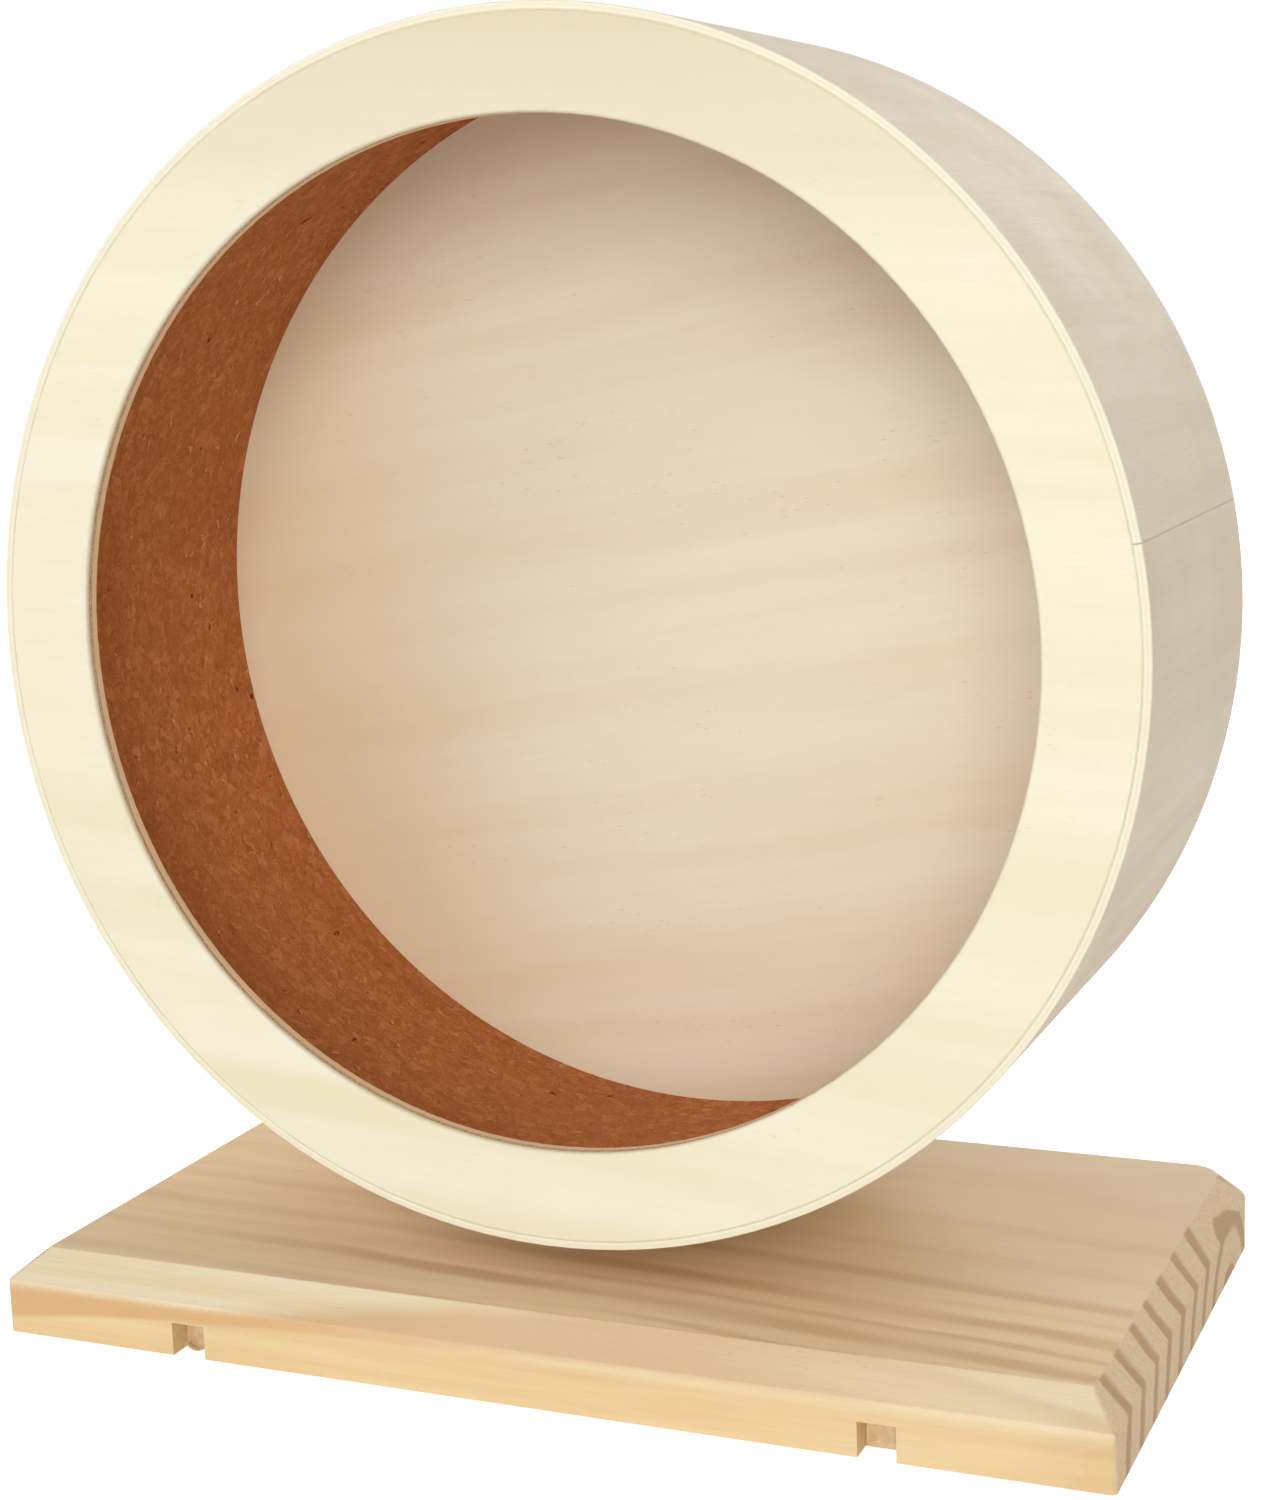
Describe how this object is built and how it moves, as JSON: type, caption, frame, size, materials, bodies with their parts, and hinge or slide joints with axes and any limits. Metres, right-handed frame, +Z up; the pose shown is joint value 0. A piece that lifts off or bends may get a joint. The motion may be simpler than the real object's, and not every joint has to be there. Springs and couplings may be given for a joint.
{
  "type": "rodent exercise wheel",
  "caption": "Free-standing wooden rodent exercise wheel: cork-lined plywood drum, open at the front, turning on a ball bearing at the rear, on a bevelled base board.",
  "frame": {"origin": "on the table, under the middle of the base and of the whole object", "axes": "+X to the right as seen from the open side, +Y to the rear along the axle, +Z up"},
  "size_m": [0.29, 0.165, 0.3205],
  "materials": {
    "poplar_plywood": "matte",
    "bent_plywood": "matte",
    "cork": "matte",
    "pine": "matte",
    "hardwood": "matte",
    "zinc_steel": "satin",
    "bearing_steel": "polished",
    "nylon": "satin"
  },
  "bodies": {
    "stand": {"base_board": "pine", "batten_left": "hardwood", "batten_right": "hardwood", "upright": "poplar_plywood", "upright_dowels": "hardwood", "upright_screws": "zinc_steel", "axle_bolt": "zinc_steel", "head_shim": "zinc_steel", "bearing_inner_race": "bearing_steel", "axle_spacer": "zinc_steel", "rear_washer": "zinc_steel", "lock_nut": "zinc_steel", "lock_nut_collar": "nylon"},
    "wheel": {"front_ring": "poplar_plywood", "drum_band": "bent_plywood", "cork_lining": "cork", "back_disc": "poplar_plywood", "hub_block": "hardwood", "hub_cover": "poplar_plywood", "hub_screws": "zinc_steel", "bearing_outer_race": "bearing_steel", "bearing_shields": "bearing_steel"},
    "ball_set": {"bearing_balls": "bearing_steel", "bearing_cage": "nylon"}
  },
  "joints": [
    {"name": "wheel_spin", "type": "hinge", "parent": "stand", "child": "wheel", "pos_m": [0, 0.0554, 0.1755], "axis": [0, 1, 0], "continuous": true},
    {"name": "ball_set_turn", "type": "hinge", "parent": "stand", "child": "ball_set", "pos_m": [0, 0.0557, 0.1755], "axis": [0, 1, 0], "continuous": true}
  ],
  "couplings": [
    {"joint": "ball_set_turn", "follows": "wheel_spin", "ratio": 0.64}
  ]
}
